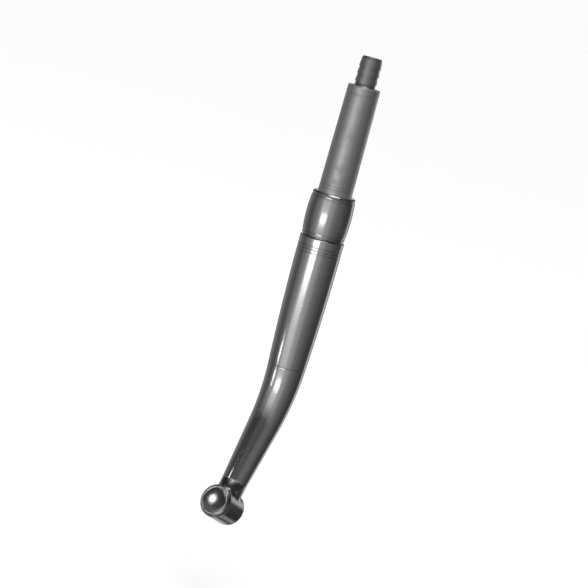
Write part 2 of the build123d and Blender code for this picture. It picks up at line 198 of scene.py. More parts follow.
def turned_rings(bm, points, place, segments=SEGMENTS):
    """Rings of vertices for an outline turned about the Z axis of a place."""
    angles = [2 * pi * index / segments for index in range(segments)]
    rings = []
    for radius, height in points:
        if radius < POLE_RADIUS:
            rings.append([bm.verts.new(place @ Vector((0, 0, height)))])
            continue
        ring = [Vector((radius * cos(angle), radius * sin(angle), height)) for angle in angles]
        rings.append([bm.verts.new(place @ point) for point in ring])
    return rings


def turned(bm, outline, place, closed=True, segments=SEGMENTS):
    """A rounded outline turned about the Z axis of a place."""
    bridge_all(bm, turned_rings(bm, rounded(outline, closed), place, segments), closed)


def piece(name, bm, body, nodes, material):
    """Finish a mesh as a smooth-shaded piece that stands for CAD nodes and rides on their body."""
    bmesh.ops.recalc_face_normals(bm, faces=bm.faces)
    bmesh.ops.scale(bm, vec=(MM, MM, MM), verts=bm.verts)
    for face in bm.faces:
        face.smooth = True
    mesh = bpy.data.meshes.new(name)
    bm.to_mesh(mesh)
    bm.free()
    made = bpy.data.objects.new(name, mesh)
    bpy.context.scene.collection.objects.link(made)
    mesh.materials.append(material)
    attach(made, body)
    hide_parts(*nodes)
    return made


def groove(radius, height, width, depth):
    """Corners of a ring groove in a wall that an outline follows upwards."""
    half = width / 2
    return [
        (radius, height - half, GROOVE_EDGE),
        (radius - depth, height - half + GROOVE_SLOPE, GROOVE_EDGE),
        (radius - depth, height + half - GROOVE_SLOPE, GROOVE_EDGE),
        (radius, height + half, GROOVE_EDGE),
    ]


# ---------------------------------------------------------------- materials

BUMP_STRENGTH = 0.4


class Nodes:
    """Short calls that add nodes to a node tree and link them."""

    def __init__(self, tree):
        self.tree = tree

    def node(self, kind, inputs=(), **settings):
        """New node with its settings, and with its inputs fed by socket name or number."""
        made = self.tree.nodes.new(kind)
        for name, value in settings.items():
            setattr(made, name, value)
        for socket, value in dict(inputs).items():
            self.feed(made.inputs[socket], value)
        return made

    def feed(self, socket, value):
        """Link an output to a socket, or set the socket to a plain value."""
        if isinstance(value, bpy.types.NodeSocket):
            self.tree.links.new(value, socket)
        else:
            socket.default_value = value

    def math(self, operation, first, second=0.0, third=0.0):
        """Output of one step of arithmetic."""
        inputs = {0: first, 1: second, 2: third}
        return self.node("ShaderNodeMath", inputs, operation=operation).outputs[0]


class Shader(Nodes):
    """A new material's node tree, with the textures that the materials share."""

    def __init__(self, name):
        self.material = bpy.data.materials.new(name)
        self.material.use_nodes = True
        super().__init__(self.material.node_tree)
        self.surface = self.tree.nodes["Principled BSDF"]

    def coordinates(self, place):
        """Object coordinates in millimetres, along the axes of a place."""
        back = place.inverted()
        source = self.node("ShaderNodeTexCoord").outputs["Object"]
        mapping = self.node("ShaderNodeMapping", {"Vector": source})
        mapping.inputs["Scale"].default_value = (1 / MM, 1 / MM, 1 / MM)
        mapping.inputs["Rotation"].default_value = back.to_euler()
        mapping.inputs["Location"].default_value = back.translation
        return mapping.outputs["Vector"]

    def noise(self, vector, scale, detail=3.0, roughness=0.55):
        """Smooth random field, about one blotch in 1 / scale millimetres."""
        inputs = {"Vector": vector, "Scale": scale, "Detail": detail, "Roughness": roughness}
        return self.node("ShaderNodeTexNoise", inputs).outputs["Fac"]

    def stretched(self, vector, scale):
        """Coordinates scaled by a different number along each axis."""
        return self.node("ShaderNodeVectorMath", {0: vector, 1: scale}, operation="MULTIPLY").outputs[0]

    def ranged(self, value, low, high):
        """Soft step from 0 below low to 1 above high."""
        inputs = {0: value, 1: low, 2: high, 3: 0.0, 4: 1.0}
        return self.node("ShaderNodeMapRange", inputs, interpolation_type="SMOOTHSTEP").outputs[0]

    def mixed(self, share, first, second):
        """Colour between two plain colours, by a share from 0 to 1."""
        made = self.node("ShaderNodeMix", data_type="RGBA")
        self.feed(made.inputs["Factor"], share)
        self.feed(made.inputs[6], (*first, 1.0))
        self.feed(made.inputs[7], (*second, 1.0))
        return made.outputs[2]

    def bump(self, height, distance):
        """Small relief on the surface, up to a distance in metres."""
        inputs = {"Strength": BUMP_STRENGTH, "Distance": distance, "Height": height}
        self.feed(self.surface.inputs["Normal"], self.node("ShaderNodeBump", inputs).outputs[0])


METAL_RELIEF = 0.00001
MOULD_RELIEF = 0.00003

# turning lines wander a little across the piece
RING_WANDER = 0.06

# scratches: slant in radians and stretch of each field, and where its hairlines begin and end
SCRATCH_FIELDS = ((0.5, (7.0, 7.0, 0.25)), (-0.35, (9.0, 9.0, 0.3)), (1.35, (6.0, 6.0, 0.22)))
SCRATCH_SLANT = (1.0, 0.6, 1.7)
SCRATCH_EDGES = (0.67, 0.74)

# smudges and grain, by noise scale, and where the smudges begin and end
SMUDGE_SCALE = 0.22
SMUDGE_EDGES = (0.48, 0.72)
GRAIN_SCALE = 14.0

# a metal's colour in its marks, as shares of its plain colour
STEEL_TINT = (0.86, 0.85, 0.82)
SATIN_TINT = (0.74, 0.735, 0.72)
BRASS_TINT = (0.8, 0.68, 0.45)

# share of each mark in a metal's colour, roughness and relief
RING_COLOUR = 0.35
SMUDGE_COLOUR = 0.45
RING_ROUGHNESS = 0.16
RING_POLISH = 0.05
SMUDGE_ROUGHNESS = 0.14
SCRATCH_ROUGHNESS = 0.28
GRAIN_ROUGHNESS = 0.03
SCRATCH_RELIEF = -0.5
GRAIN_RELIEF = 0.12

# moulded pieces: their blotches, the paler tone in them and the roughness of their grain
BLOTCH_SCALE = 0.5
BLOTCH_EDGES = (0.4, 0.75)
BLOTCH_GAIN = 1.35
BLOTCH_LIFT = 0.02
MOULD_SCALE = 12.0
MOULD_ROUGHNESS = 0.18


def turning_lines(shader, vector, per_mm):
    """Fine rings left by the lathe: they follow the distance along the axis and out from it."""
    parts = shader.node("ShaderNodeSeparateXYZ", {"Vector": vector}).outputs
    flat = shader.node("ShaderNodeCombineXYZ", {"X": parts["X"], "Y": parts["Y"]}).outputs[0]
    out = shader.node("ShaderNodeVectorMath", {0: flat}, operation="LENGTH").outputs["Value"]
    inputs = {
        "X": shader.math("MULTIPLY", parts["X"], RING_WANDER),
        "Y": shader.math("MULTIPLY", parts["Y"], RING_WANDER),
        "Z": shader.math("MULTIPLY", shader.math("ADD", out, parts["Z"]), per_mm),
    }
    rings = shader.node("ShaderNodeCombineXYZ", inputs).outputs[0]
    return shader.noise(rings, 1.0, detail=4.0, roughness=0.6)


def scratches(shader, vector):
    """Sparse hairline scratches in three slanting directions, from wiping and handling."""
    fields = []
    for slant, stretch in SCRATCH_FIELDS:
        slanted = shader.node("ShaderNodeVectorRotate", {"Vector": vector}, rotation_type="EULER_XYZ")
        slanted.inputs["Rotation"].default_value = [slant * part for part in SCRATCH_SLANT]
        field = shader.noise(shader.stretched(slanted.outputs[0], stretch), 1.0, detail=2.0)
        fields.append(shader.ranged(field, *SCRATCH_EDGES))
    return shader.math("MAXIMUM", fields[0], shader.math("MAXIMUM", fields[1], fields[2]))


def metal(name, place, colour, roughness, turning=0.3, per_mm=6.0, wear=0.5, tint=STEEL_TINT):
    """Machined and polished metal: turning lines, handling scratches, smudges and a little colour drift."""
    shader = Shader(name)
    vector = shader.coordinates(place)
    rings = turning_lines(shader, vector, per_mm)
    hairs = scratches(shader, vector)
    smudge = shader.ranged(shader.noise(vector, SMUDGE_SCALE, detail=5.0, roughness=0.6), *SMUDGE_EDGES)
    grain = shader.noise(vector, GRAIN_SCALE, detail=2.0)

    darker = tuple(channel * shade for channel, shade in zip(colour, tint))
    drift = shader.math("MULTIPLY", smudge, SMUDGE_COLOUR)
    drift = shader.math("MULTIPLY_ADD", rings, RING_COLOUR * turning, drift)
    shader.feed(shader.surface.inputs["Base Color"], shader.mixed(drift, colour, darker))
    shader.surface.inputs["Metallic"].default_value = 1.0

    rough = shader.math("MULTIPLY_ADD", rings, RING_ROUGHNESS * turning, roughness - RING_POLISH * turning)
    rough = shader.math("MULTIPLY_ADD", smudge, SMUDGE_ROUGHNESS * wear, rough)
    rough = shader.math("MULTIPLY_ADD", hairs, SCRATCH_ROUGHNESS * wear, rough)
    rough = shader.math("MULTIPLY_ADD", grain, GRAIN_ROUGHNESS, rough)
    shader.feed(shader.surface.inputs["Roughness"], rough)

    relief = shader.math("MULTIPLY", rings, turning)
    relief = shader.math("MULTIPLY_ADD", hairs, SCRATCH_RELIEF * wear, relief)
    shader.bump(shader.math("MULTIPLY_ADD", grain, GRAIN_RELIEF, relief), METAL_RELIEF)
    return shader.material


def moulded(name, place, colour, roughness, relief=MOULD_RELIEF, sheen=0.0):
    """Rubber, plastic or ceramic: a soft grain and paler blotches."""
    shader = Shader(name)
    vector = shader.coordinates(place)
    grain = shader.noise(vector, MOULD_SCALE, detail=4.0, roughness=0.65)
    blotch = shader.ranged(shader.noise(vector, BLOTCH_SCALE), *BLOTCH_EDGES)
    pale = tuple(min(1.0, channel * BLOTCH_GAIN + BLOTCH_LIFT) for channel in colour)
    shader.feed(shader.surface.inputs["Base Color"], shader.mixed(blotch, colour, pale))
    rough = shader.math("MULTIPLY_ADD", grain, MOULD_ROUGHNESS, roughness - MOULD_ROUGHNESS / 2)
    shader.feed(shader.surface.inputs["Roughness"], rough)
    shader.surface.inputs["Sheen Weight"].default_value = sheen
    shader.bump(grain, relief)
    return shader.material


STEEL = (0.78, 0.785, 0.79)
SLEEVE_STEEL = (0.86, 0.86, 0.855)
SPIGOT_STEEL = (0.68, 0.68, 0.675)
PLATED_BRASS = (0.76, 0.70, 0.55)

handle_metal = metal("handle_metal", upright, STEEL, 0.13, turning=0.35, per_mm=7.0, wear=0.6)
neck_metal = metal("neck_metal", head_place, STEEL, 0.11, turning=0.2, per_mm=5.0, wear=0.6)
# painted shade: head, cap, rim and button take darker copies of the handle's steel so the head reads dark
shaded_head_metal = metal("shaded_head_metal", head_place, (0.62, 0.625, 0.63), 0.10, turning=0.35, per_mm=9.0, wear=0.7)
shaded_cap_metal = metal("shaded_cap_metal", head_place, (0.60, 0.605, 0.61), 0.10, turning=0.5, per_mm=10.0, wear=0.6)
shaded_button_metal = metal("shaded_button_metal", head_place, (0.66, 0.66, 0.66), 0.10, turning=0.6, per_mm=9.0, wear=0.6)
sleeve_metal = metal(
    "sleeve_metal", upright, SLEEVE_STEEL, 0.36, turning=1.8, per_mm=5.0, wear=0.9, tint=SATIN_TINT
)
spigot_metal = metal(
    "spigot_metal", upright, SPIGOT_STEEL, 0.32, turning=1.8, per_mm=6.0, wear=0.6, tint=SATIN_TINT
)
nut_metal = metal("nut_metal", upright, (0.70, 0.705, 0.71), 0.12, turning=0.5, per_mm=6.0, wear=1.0)
tube_metal = metal("tube_metal", upright, (0.62, 0.62, 0.625), 0.28, turning=0.3, per_mm=3.0, wear=0.4)
plated_brass = metal("plated_brass", upright, PLATED_BRASS, 0.24, turning=0.8, wear=0.8, tint=BRASS_TINT)
bearing_metal = metal("bearing_metal", head_place, (0.66, 0.665, 0.68), 0.12, turning=0.8, per_mm=12.0)
rotor_metal = metal("rotor_metal", head_place, (0.62, 0.62, 0.63), 0.25, turning=1.0, per_mm=12.0)
vane_metal = metal("vane_metal", head_place, (0.74, 0.745, 0.75), 0.30, turning=0.6, per_mm=10.0)
spring_metal = metal("spring_metal", head_place, (0.45, 0.45, 0.46), 0.30, turning=0.2)
gasket_rubber = moulded("gasket_rubber", upright, (0.035, 0.035, 0.038), 0.62, sheen=0.1)
seal_rubber = moulded("seal_rubber", head_place, (0.02, 0.02, 0.02), 0.55, sheen=0.1)
spacer_plastic = moulded("spacer_plastic", upright, (0.72, 0.70, 0.65), 0.45)
cage_plastic = moulded("cage_plastic", head_place, (0.28, 0.16, 0.07), 0.50)
ball_ceramic = moulded("ball_ceramic", head_place, (0.05, 0.05, 0.055), 0.15, relief=0.000002)
# near-black material for the discs in the spray ports' mouths: painted shadow
port_shadow = moulded("port_shadow", head_place, (0.008, 0.008, 0.008), 0.80)

# CAD nodes that keep their own shape, and the material of each
node_materials = {
    "port_block": plated_brass,
    "port_gasket": gasket_rubber,
    "thrust_washer": spigot_metal,
    "connector_o_ring": gasket_rubber,
    "drive_air_tube": tube_metal,
    "chip_air_tube": tube_metal,
    "water_tube": tube_metal,
    "tube_spacer": spacer_plastic,
    "spindle": rotor_metal,
    "chuck": rotor_metal,
    "chuck_plunger": rotor_metal,
    "impeller": vane_metal,
    "preload_washer": spring_metal,
}
for end in ("front", "rear"):
    node_materials[f"{end}_outer_race"] = bearing_metal
    node_materials[f"{end}_inner_race"] = bearing_metal
    node_materials[f"{end}_balls"] = ball_ceramic
    node_materials[f"{end}_cage"] = cage_plastic
    node_materials[f"{end}_o_ring"] = seal_rubber
for node_name, node_material in node_materials.items():
    slots = frame["nodes"][node_name].data.materials
    slots.clear()
    slots.append(node_material)

# ---------------------------------------------------------------- hose end

BARB_COUNT = 3
BARB_START = 1.2
BARB_PITCH = 2.2
BARB_LENGTH = 1.9
BARB_RISE = 0.25
BARB_LEAD = 0.05
BARB_FOOT = 0.03
SPIGOT_SEAT_GAP = 0.02
SPIGOT_TIP_HEIGHT = 0.6
SPIGOT_TIP_TAPER = 0.2


def make_spigot():
    """Ring that the hose jacket is pushed on to, with three shallow barbs."""
    low, high = levels("hose_spigot")
    bore, seat = radii("hose_spigot", low)
    radius = radii("hose_spigot", 0.0)[0]
    root = radius - BARB_RISE
    outline = [(bore, low, 0.1), (seat, low, 0.1), (seat, -SPIGOT_SEAT_GAP, 0), (root, 0.0, 0)]
    for barb in range(BARB_COUNT):
        foot = BARB_START + BARB_PITCH * barb
        outline += [(root, foot, 0.04), (radius, foot + BARB_LEAD, 0.06)]
        outline.append((root + BARB_FOOT, foot + BARB_LENGTH, 0.1))
    outline += [(root, high - SPIGOT_TIP_HEIGHT, 0.1), (root - SPIGOT_TIP_TAPER, high, 0.12)]
    outline.append((bore, high, 0.12))
    bm = bmesh.new()
    turned(bm, outline, upright)
    return piece("hose_spigot_turned", bm, "root", ["hose_spigot"], spigot_metal)


def make_stub(node):
    """Drawn tube with softened ends."""
    low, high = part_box(node)
    centre = (low + high) / 2 / MM
    place = Matrix.Translation((centre.x, centre.y, 0))
    bottom, top = low.z / MM, high.z / MM
    bore, radius = radii(node, top, place)
    outline = [(bore, bottom, 0.05), (radius, bottom, 0.05), (radius, top, 0.08), (bore, top, 0.05)]
    bm = bmesh.new()
    turned(bm, outline, place, segments=SMALL_SEGMENTS)
    return piece(f"{node}_drawn", bm, "root", [node], tube_metal)


COLLAR_HEIGHT = 2.0
SLEEVE_EDGE_WIDTH = 0.25
SLEEVE_EDGE_HEIGHT = 0.15
SLEEVE_GROOVE_DEPTH = 0.1
# grooves of the sleeve: how far above the nut, and how wide
SLEEVE_GROOVES = ((1.5, 0.28), (2.4, 0.28), (29.2, 0.35))


def make_sleeve():
    """Tapered tail sleeve with its collar, a fine groove at the hose end and two above the nut."""
    low, high = levels("tail_sleeve")
    collar = radius_of("tail_sleeve")
    collar_top = low + COLLAR_HEIGHT
    nut_top = levels("union_nut")[1]
    bore = radii("tail_sleeve", low)[0]
    radius = radii("tail_sleeve", nut_top)[1]
    top_radius = radii("tail_sleeve", high - SLEEVE_EDGE_WIDTH)[1]
    taper = (radius - top_radius) / (high - nut_top)
    outline = [(bore, low, 0.1), (collar, low, 0.12), (collar, collar_top, 0.12), (radius, collar_top, 0)]
    outline.append((radius, nut_top, 0.3))
    for rise, width in SLEEVE_GROOVES:
        outline += groove(radius - taper * rise, nut_top + rise, width, SLEEVE_GROOVE_DEPTH)
    outline += [(top_radius, high - SLEEVE_EDGE_HEIGHT, 0.1), (top_radius - SLEEVE_EDGE_WIDTH, high, 0.12)]
    outline.append((bore, high, 0.1))
    bm = bmesh.new()
    turned(bm, outline, upright)
    return piece("tail_sleeve_turned", bm, "root", ["tail_sleeve"], sleeve_metal)


NUT_LIP = 1.9
NUT_CHAMFER = 0.3
NUT_EDGE_HEIGHT = 0.35
NUT_GROOVE_INSET = 1.1
NUT_GROOVE_WIDTH = 0.4
NUT_GROOVE_DEPTH = 0.16
BARREL_INSET = 1.7
BARREL_STEPS = 14


def make_nut():
    """Barrel-shaped union nut with a ring groove near each end."""
    low, high = levels("union_nut")
    belly = radius_of("union_nut")
    lip_bore = radii("union_nut", high)[0]
    lip_base = high - NUT_LIP
    bore, end_face = radii("union_nut", low)
    end_radius = end_face + NUT_CHAMFER
    middle, half = (low + high) / 2, (high - low) / 2

    def barrel(height):
        return end_radius + (belly - end_radius) * (1 - ((height - middle) / half) ** 2)

    def ring_groove(height):
        return groove(barrel(height), height, NUT_GROOVE_WIDTH, NUT_GROOVE_DEPTH)

    low_edge, high_edge = low + NUT_EDGE_HEIGHT, high - NUT_EDGE_HEIGHT
    outline = [(bore, low, 0.1), (end_face, low, 0.1), (barrel(low_edge), low_edge, 0.15)]
    outline += ring_groove(low + NUT_GROOVE_INSET)
    for step in range(BARREL_STEPS + 1):
        height = low + BARREL_INSET + (high - low - 2 * BARREL_INSET) * step / BARREL_STEPS
        outline.append((barrel(height), height, 0))
    outline += ring_groove(high - NUT_GROOVE_INSET)
    outline += [(barrel(high_edge), high_edge, 0.15), (end_face, high, 0.1), (lip_bore, high, 0.12)]
    outline += [(lip_bore, lip_base, 0.1), (bore, lip_base, 0)]
    bm = bmesh.new()
    turned(bm, outline, upright)
    return piece("union_nut_turned", bm, "nut", ["union_nut"], nut_metal)


# screw thread: it fades in over its first turn and out over its last
THREAD_PITCH = 0.75
THREAD_DEPTH = 0.36
THREAD_ROWS_PER_TURN = 10
THREAD_SLOPE = 2.6
THREAD_END_FADE = 0.15
THREAD_PLAIN_END = 0.5
CONNECTOR_TIP_HEIGHT = 0.3
CONNECTOR_TIP_STEP = 0.1
CONNECTOR_FACE_INSET = 0.7


def thread_point(turn, height, radius, fade):
    """Point of the screw thread at a share of a turn and a height, which is a plain root where fade is 0."""
    phase = (height / THREAD_PITCH + turn) % 1.0
    crest = min(1.0, THREAD_SLOPE * abs(phase - 0.5))
    out = radius - THREAD_DEPTH * (1 - crest * fade)
    return Vector((out * cos(2 * pi * turn), out * sin(2 * pi * turn), height))


def make_connector():
    """Rear connector: port face, screw thread and the spigot inside the handle."""
    low, high = levels("rear_connector")
    radius = radius_of("rear_connector")
    shoulder = levels("handle_shell")[1]
    spigot = radii("rear_connector", low)[1]
    bm = bmesh.new()
    foot = rounded([(0, low, 0), (spigot, low, 0.15), (spigot, shoulder, 0)], False)
    rings = turned_rings(bm, foot, upright)
    thread_length = high - THREAD_PLAIN_END - shoulder
    rows = int(thread_length / THREAD_PITCH * THREAD_ROWS_PER_TURN)
    for row in range(rows + 1):
        height = shoulder + thread_length * row / rows
        fade = min(1.0, row / THREAD_ROWS_PER_TURN, (rows - row) / THREAD_ROWS_PER_TURN + THREAD_END_FADE)
        ring = [thread_point(index / SEGMENTS, height, radius, fade) for index in range(SEGMENTS)]
        rings.append([bm.verts.new(point) for point in ring])
    tip = [
        (radius - THREAD_DEPTH - CONNECTOR_TIP_STEP, high - CONNECTOR_TIP_HEIGHT),
        (radius - CONNECTOR_FACE_INSET, high),
        (0, high),
    ]
    rings += turned_rings(bm, tip, upright)
    bridge_all(bm, rings, False)
    return piece("rear_connector_threaded", bm, "root", ["rear_connector"], plated_brass)


# ---------------------------------------------------------------- handle and neck

FRONT_BORE, HANDLE_FRONT = radii("handle_shell", seam_z)
MIDDLE_HEIGHT = -64.0
MIDDLE_RADIUS = 6.3
HANDLE_STEPS = 30
HANDLE_FRONT_EDGE = 0.12
HANDLE_FRONT_STEP = 0.06
HANDLE_CURVE_START = 0.6
HANDLE_REAR_PLAIN = 5.0
HANDLE_REAR_BORE_DEPTH = 7.0
HANDLE_EDGE_WIDTH = 0.25
HANDLE_EDGE_HEIGHT = 0.2
HANDLE_GROOVE_DROPS = (4.2, 3.3, 2.4)
HANDLE_GROOVE_WIDTH = 0.34
HANDLE_GROOVE_DEPTH = 0.13


def handle_radius(height, low, high):
    """Outer radius of the handle: a gentle curve through its rear end, its middle and its front end."""
    points = ((high, radius_of("handle_shell")), (MIDDLE_HEIGHT, MIDDLE_RADIUS), (low, HANDLE_FRONT))
    total = 0.0
    for here, value in points:
        share = 1.0
        for other, _ in points:
            if other != here:
                share *= (height - other) / (here - other)
        total += value * share
    return total


def make_handle():
    """Long polished handle with three fine grooves behind its rear edge."""
    low, high = levels("handle_shell")
    bore = radii("handle_shell", high)[0]
    front_edge = low + HANDLE_FRONT_EDGE
    outline = [(FRONT_BORE, low, 0.08), (HANDLE_FRONT - HANDLE_FRONT_STEP, low, 0.05)]
    outline.append((handle_radius(front_edge, low, high), front_edge, 0.05))
    start, stop = low + HANDLE_CURVE_START, high - HANDLE_REAR_PLAIN
    for step in range(HANDLE_STEPS + 1):
        height = start + (stop - start) * step / HANDLE_STEPS
        outline.append((handle_radius(height, low, high), height, 0))
    for drop in HANDLE_GROOVE_DROPS:
        radius = handle_radius(high - drop, low, high)
        outline += groove(radius, high - drop, HANDLE_GROOVE_WIDTH, HANDLE_GROOVE_DEPTH)
    rim = handle_radius(high, low, high)
    outline += [(rim, high - HANDLE_EDGE_HEIGHT, 0.1), (rim - HANDLE_EDGE_WIDTH, high, 0.12)]
    outline += [(bore, high, 0.12), (bore, high - HANDLE_REAR_BORE_DEPTH, 0.2)]
    bm = bmesh.new()
    turned(bm, outline, upright)
    return piece("handle_shell_polished", bm, "root", ["handle_shell"], handle_metal)


STUB_SHOULDER = 7.3
NECK_END = radii("head_housing", STUB_SHOULDER, neck_place)[1]
NECK_GAP = 0.03
NECK_WALL = 0.7
NECK_STEPS = 72
NECK_BORE_STEPS = 20
# eased ends of the neck: how far along from the end, and how far inside the full radius
NECK_EDGE = ((0.0, 0.1), (0.05, 0.03), (0.14, 0.0))


def neck_frame(distance):
    """Place on the neck's centre line, with Z along it towards the head and X towards the bur side."""
    angle = min(max(distance, 0.0) / bend_radius, bend)
    beyond = max(distance - arc_length, 0.0)
    x = bend_radius * cos(angle) - bend_radius - beyond * sin(angle)
    z = seam_z - bend_radius * sin(angle) - beyond * cos(angle)
    across = Vector((cos(angle), 0, -sin(angle)))
    along = Vector((-sin(angle), 0, -cos(angle)))
    return placed(Vector((x, 0, z)), across, along)


def make_neck():
    """Bent, tapering neck shell with eased ends."""
    total = arc_length + straight_length - STUB_SHOULDER - NECK_GAP

    def outer(distance):
        return HANDLE_FRONT + (NECK_END - HANDLE_FRONT) * distance / total

    first, last = outer(0.0), outer(total)
    stations = [(0.0, first - NECK_WALL)]
    stations += [(inset, first - drop) for inset, drop in NECK_EDGE]
    for step in range(1, NECK_STEPS):
        distance = total * step / NECK_STEPS
        stations.append((distance, outer(distance)))
    stations += [(total - inset, last - drop) for inset, drop in reversed(NECK_EDGE)]
    stations.append((total, last - NECK_WALL))
    for step in range(1, NECK_BORE_STEPS):
        distance = total * (NECK_BORE_STEPS - step) / NECK_BORE_STEPS
        stations.append((distance, outer(distance) - NECK_WALL))
    bm = bmesh.new()
    rings = []
    for distance, radius in stations:
        rings += turned_rings(bm, [(radius, 0.0)], neck_frame(distance))
    bridge_all(bm, rings, True)
    return piece("neck_shell_polished", bm, "root", ["neck_shell"], neck_metal)


# ---------------------------------------------------------------- head

FRONT_WALL = 0.7
CHAMBER_RADIUS = 4.15
CHAMBER_BASE = -1.75
CHAMBER_TOP = 1.25
DRUM_EDGE = 0.9
# ring groove round the mouth: its edges as distances out from the mouth, and its depth
FACE_GROOVE = (0.40, 0.50, 0.80, 0.90)
FACE_GROOVE_DEPTH = 0.14


def add_drum(bm):
    """The head's drum: bur-side face with its mouth, rounded edge, wall and the seats inside."""
    face, seam = levels("head_housing", head_place)
    radius = radius_of("head_housing")
    mouth = radii("head_housing", face, head_place)[0]
    seat = radii("head_cap", CHAMBER_TOP, head_place)[0]
    skirt = radii("head_housing", seam, head_place)[0]
    groove_start, floor_start, floor_end, groove_end = [mouth + distance for distance in FACE_GROOVE]
    outline = [
        (mouth, face + FRONT_WALL, 0.1),
        (mouth, face, 0.12),
        (groove_start, face, 0.06),
        (floor_start, face + FACE_GROOVE_DEPTH, 0.05),
        (floor_end, face + FACE_GROOVE_DEPTH, 0.05),
        (groove_end, face, 0.06),
        (radius, face, DRUM_EDGE),
        (radius, seam, 0.1),
        (skirt, seam, 0.1),
        (skirt, CHAMBER_TOP, 0),
        (CHAMBER_RADIUS, CHAMBER_TOP, 0),
        (CHAMBER_RADIUS, CHAMBER_BASE, 0),
        (seat, CHAMBER_BASE, 0),
        (seat, face + FRONT_WALL, 0),
    ]
    turned(bm, outline, head_place)


# soft corner between neck stub and drum: its size, what is added at the sides, and its reach along the stub
FLARE_CORNER = 0.35
FLARE_SIDE_CORNER = 0.35
FLARE_REACH_SHARE = 1.4
FLARE_LEAD = 0.02
FLARE_STEPS = 8
# the corner keeps this much clear of the drum's bur face, and is free where it runs almost level
FLARE_FACE_ROOM = 0.9
FLARE_LEVEL = 0.01
# end face and eased edge of the stub, where the neck shell meets it
STUB_BORE_SHARE = 0.8
STUB_EDGE_SHARE = 0.985
STUB_EDGE = 0.06
# inside the drum's wall the skin sinks a little and then closes
SINK_SHARE = 0.93
CLOSING_DEPTH_SHARE = 0.85
CLOSING_WIDTH_SHARE = 0.6


def flare_row(angle, radius, face, seam):
    """Points of the neck stub's skin at an angle round the neck, from its shoulder into the drum's wall."""
    across, up = cos(angle), sin(angle)
    side, level = NECK_END * across, NECK_END * up
    soft = FLARE_CORNER + FLARE_SIDE_CORNER * abs(across)
    if up > FLARE_LEVEL:
        soft = max(0.0, min(soft, (seam - level) / up))
    elif up < -FLARE_LEVEL:
        soft = max(0.0, min(soft, (face + FLARE_FACE_ROOM - level) / up))
    side_out = (NECK_END + soft) * across
    corner = Vector((sqrt(radius ** 2 - side ** 2), side, level))
    foot = Vector((sqrt(max(0.0, radius ** 2 - side_out ** 2)), side_out, level + soft * up))
    start = corner + Vector((soft * FLARE_REACH_SHARE + FLARE_LEAD, 0, 0))
    return [
        Vector((STUB_SHOULDER, side * STUB_BORE_SHARE, level * STUB_BORE_SHARE)),
        Vector((STUB_SHOULDER, side * STUB_EDGE_SHARE, level * STUB_EDGE_SHARE)),
        Vector((STUB_SHOULDER - STUB_EDGE, side, level)),
        *curve(start, corner, foot, FLARE_STEPS),
        Vector((foot.x * SINK_SHARE, foot.y * SINK_SHARE, foot.z)),
        Vector((radius * CLOSING_DEPTH_SHARE, side * CLOSING_WIDTH_SHARE, level * CLOSING_WIDTH_SHARE)),
    ]


def add_flare(bm):
    """Short neck stub that flows into the drum with a soft corner, closed inside the drum's wall."""
    face, seam = levels("head_housing", head_place)
    radius = radius_of("head_housing")
    rows = [flare_row(2 * pi * index / SEGMENTS, radius, face, seam) for index in range(SEGMENTS)]
    rings = [[bm.verts.new(head_place @ point) for point in ring] for ring in zip(*rows)]
    bridge_all(bm, rings, True)


# spray ports: how far from the drum's axis towards the neck, and how far to each side
PORT_PLACE = 4.2
PORT_OFFSET = 0.75
PORT_BORE = 0.24
PORT_RADIUS = 0.42
PORT_RISE = 0.03
PORT_DEPTH = 0.5
# dark disc in each port's mouth, painted shadow where the hole is: its radius, rise above the face and depth
SHADE_DISC_RADIUS = 0.26
SHADE_DISC_RISE = 0.01
SHADE_DISC_DEPTH = 0.4
PORT_SEGMENTS = 32


def add_spray_ports(bm):
    """Two small spray ports on the bur face's neck side, each a low ring round a disc of painted shadow."""
    face = levels("head_housing", head_place)[0]
    rim, base = face - PORT_RISE, face + PORT_DEPTH
    shade_disc_face, shade_disc_base = face - SHADE_DISC_RISE, face + SHADE_DISC_DEPTH
    ring = [(PORT_BORE, base, 0), (PORT_BORE, rim, 0.03), (PORT_RADIUS, rim, 0.05), (PORT_RADIUS, base, 0)]
    shade_disc = [(0, shade_disc_face, 0), (SHADE_DISC_RADIUS, shade_disc_face, 0), (SHADE_DISC_RADIUS, shade_disc_base, 0), (0, shade_disc_base, 0)]
    painted_shadow_faces = []
    for side in (-PORT_OFFSET, PORT_OFFSET):
        place = head_place @ Matrix.Translation((PORT_PLACE, side, 0))
        turned(bm, ring, place, segments=PORT_SEGMENTS)
        before = set(bm.faces)
        turned(bm, shade_disc, place, closed=False, segments=PORT_SEGMENTS)
        painted_shadow_faces += [made for made in bm.faces if made not in before]
    # the discs take the near-black port_shadow material: painted shadow in the ports' mouths
    for made in painted_shadow_faces:
        made.material_index = 1


def make_head():
    """Head housing: drum, neck stub and spray ports in one piece, with painted shadow in the ports' mouths.
    """
    bm = bmesh.new()
    add_drum(bm)
    add_flare(bm)
    add_spray_ports(bm)
    made = piece("head_housing_polished", bm, "root", ["head_housing"], shaded_head_metal)
    made.data.materials.append(port_shadow)
    return made


CAP_GAP = 0.02
CAP_INSET = 0.02
CAP_EDGE_HEIGHT = 0.5
CAP_EDGE_WIDTH = 0.3
CAP_SHELF_BASE = 3.8
CAP_SHELF_TOP = 4.1
CAP_SHELF_HOLE = 2.4


